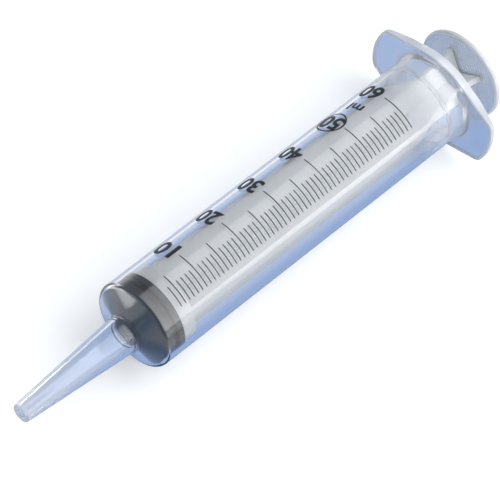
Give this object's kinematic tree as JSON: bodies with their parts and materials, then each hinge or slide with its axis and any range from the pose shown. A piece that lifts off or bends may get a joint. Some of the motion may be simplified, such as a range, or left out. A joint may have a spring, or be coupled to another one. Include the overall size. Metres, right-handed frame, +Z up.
{
  "type": "catheter-tip syringe",
  "caption": "Clear disposable syringe with a long tapering catheter tip, winged finger flange, rubber stopper and a ribbed plunger pushed home.",
  "frame": {"origin": "middle of the bounding box at its base, on the surface that the syringe lies on", "axes": "+X points from the nozzle to the thumb disc, +Z is up and +Y runs across, along the wings; the syringe's own axis climbs by 1.015 degrees from the nozzle to the thumb disc, as it lies"},
  "size_m": [0.192, 0.05, 0.034],
  "materials": {
    "clear_plastic": "clear, smooth and glossy",
    "milky_plastic": "milky, translucent and smooth",
    "stopper_rubber": "dark grey, satin, lightly oiled",
    "scale_ink": "black ink printed on the barrel"
  },
  "bodies": {
    "barrel": {"barrel": "clear_plastic"},
    "stopper": {"stopper": "stopper_rubber"},
    "plunger_rod": {"plunger_rod": "milky_plastic"}
  },
  "joints": [
    {"name": "stopper_slide", "type": "slide", "parent": "barrel", "child": "stopper", "axis": [0.9998, 0, 0.0177], "range_m": [0, 0.115]},
    {"name": "rod_spin", "type": "hinge", "parent": "stopper", "child": "plunger_rod", "pos_m": [-0.03599, 0, 0.01493], "axis": [0.9998, 0, 0.0177], "continuous": true}
  ]
}
